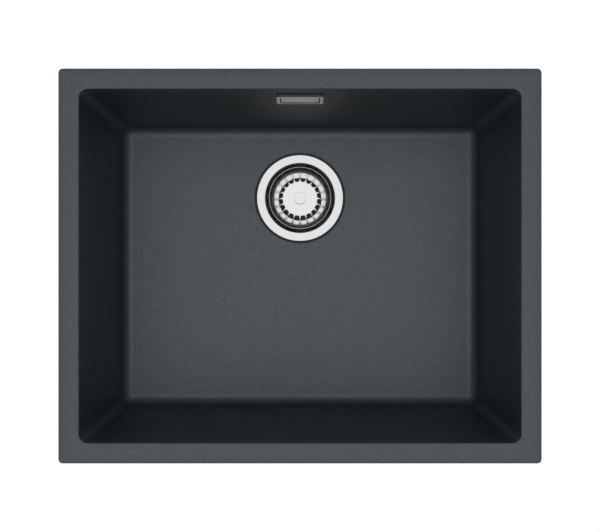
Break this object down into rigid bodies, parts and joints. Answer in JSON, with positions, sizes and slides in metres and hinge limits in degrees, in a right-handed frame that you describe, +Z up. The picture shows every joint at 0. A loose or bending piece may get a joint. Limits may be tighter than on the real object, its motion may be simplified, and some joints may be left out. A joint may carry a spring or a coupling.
{
  "type": "undermount kitchen sink",
  "caption": "Rectangular granite composite undermount sink bowl with a lift-out basket strainer, its waste, and an overflow with its hose.",
  "frame": {"origin": "middle of the rim's top face, in the plane that meets the worktop's underside", "axes": "+X to the right, +Y toward the wall with the overflow and the drain, +Z up out of the bowl"},
  "size_m": [0.5472, 0.4472, 0.299],
  "materials": {
    "granite_composite": "matt mineral composite, dark grey with fine speckle",
    "polished_steel": "polished stainless steel",
    "satin_steel": "satin stainless steel",
    "brass": "turned brass",
    "seal_rubber": "matt black rubber",
    "grey_plastic": "moulded grey polypropylene",
    "dark_plastic": "moulded dark grey polypropylene"
  },
  "bodies": {
    "sink": {"bowl": "granite_composite", "rim_inserts": "brass", "flange_gasket": "seal_rubber", "strainer_cup": "polished_steel", "clamp_screw": "polished_steel", "clamp_insert": "brass", "waste_body": "grey_plastic", "waste_gasket": "seal_rubber", "overflow_cover": "satin_steel", "overflow_frame": "dark_plastic", "overflow_screws": "polished_steel", "overflow_gasket": "seal_rubber", "overflow_housing": "grey_plastic", "overflow_hose": "dark_plastic", "upper_hose_clip": "satin_steel", "lower_hose_clip": "satin_steel", "hose_tail": "dark_plastic", "union_seal": "seal_rubber", "union_nut": "dark_plastic"},
    "strainer": {"basket_dish": "polished_steel", "basket_knob": "polished_steel", "basket_stem": "polished_steel", "seal_plate": "dark_plastic", "stopper_seal": "seal_rubber", "stem_nut": "polished_steel"}
  },
  "joints": [
    {"name": "strainer_lift", "type": "slide", "parent": "sink", "child": "strainer", "axis": [0, 0, 1], "range_m": [0, 0.26]}
  ]
}
